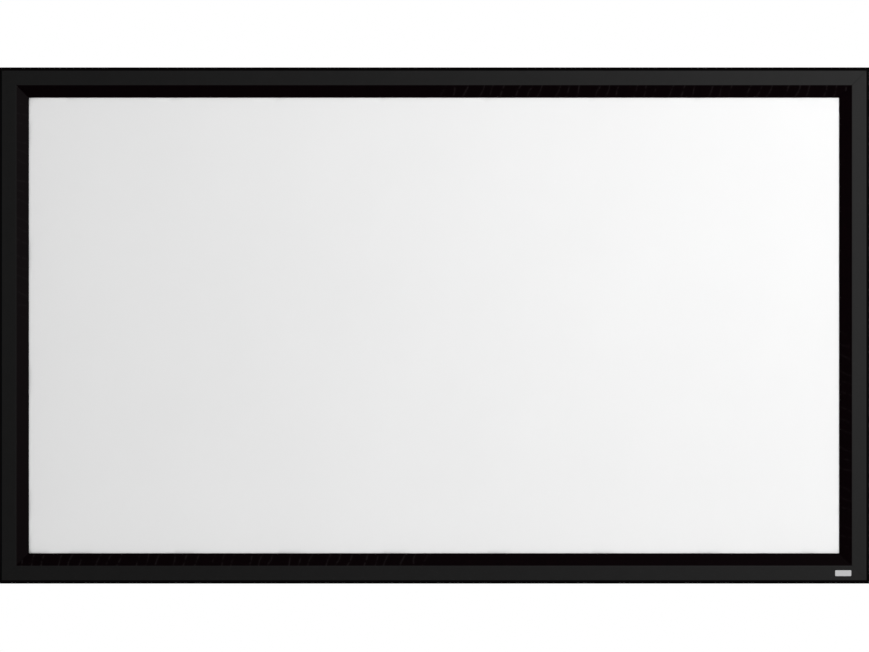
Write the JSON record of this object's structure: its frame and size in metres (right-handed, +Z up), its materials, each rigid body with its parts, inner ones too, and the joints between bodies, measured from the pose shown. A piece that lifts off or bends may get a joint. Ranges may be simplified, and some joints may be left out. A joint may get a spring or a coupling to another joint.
{
  "type": "fixed frame projector screen",
  "caption": "Wall-hung fixed frame projector screen: a tensioned matt white sheet inside a wide black velvet-covered border with mitred corners.",
  "frame": {"origin": "on the wall plane at the centre of the screen, on the back face of the centre support bar", "axes": "+X to the right as a viewer sees the picture, +Y into the wall, +Z up; the picture faces -Y"},
  "size_m": [2.379, 0.0393, 1.41],
  "materials": {
    "velvet": "matte",
    "rail": "satin",
    "sheet": "matte",
    "rod": "satin",
    "spring": "satin",
    "bracket": "satin",
    "screw": "satin",
    "bar": "satin",
    "clip": "satin",
    "badge": "satin"
  },
  "bodies": {
    "root": {"top_rail": "rail", "right_rail": "rail", "bottom_rail": "rail", "left_rail": "rail", "top_velvet": "velvet", "right_velvet": "velvet", "bottom_velvet": "velvet", "left_velvet": "velvet", "screen_sheet": "sheet", "tension_rod_top": "rod", "tension_rod_right": "rod", "tension_rod_bottom": "rod", "tension_rod_left": "rod", "spring_top_1": "spring", "spring_top_2": "spring", "spring_top_3": "spring", "spring_top_4": "spring", "spring_top_5": "spring", "spring_top_6": "spring", "spring_top_7": "spring", "spring_top_8": "spring", "spring_right_1": "spring", "spring_right_2": "spring", "spring_right_3": "spring", "spring_right_4": "spring", "spring_bottom_1": "spring", "spring_bottom_2": "spring", "spring_bottom_3": "spring", "spring_bottom_4": "spring", "spring_bottom_5": "spring", "spring_bottom_6": "spring", "spring_bottom_7": "spring", "spring_bottom_8": "spring", "spring_left_1": "spring", "spring_left_2": "spring", "spring_left_3": "spring", "spring_left_4": "spring", "corner_bracket_top_right": "bracket", "corner_bracket_bottom_right": "bracket", "corner_bracket_bottom_left": "bracket", "corner_bracket_top_left": "bracket", "corner_screw_top_right_1": "screw", "corner_screw_top_right_2": "screw", "corner_screw_bottom_right_1": "screw", "corner_screw_bottom_right_2": "screw", "corner_screw_bottom_left_1": "screw", "corner_screw_bottom_left_2": "screw", "corner_screw_top_left_1": "screw", "corner_screw_top_left_2": "screw", "wall_hanger_left": "bracket", "wall_hanger_right": "bracket", "wall_catch_left": "bracket", "wall_catch_right": "bracket", "support_bar": "bar", "bar_clip_top": "clip", "bar_clip_bottom": "clip", "badge_plate": "badge"}
  },
  "joints": []
}
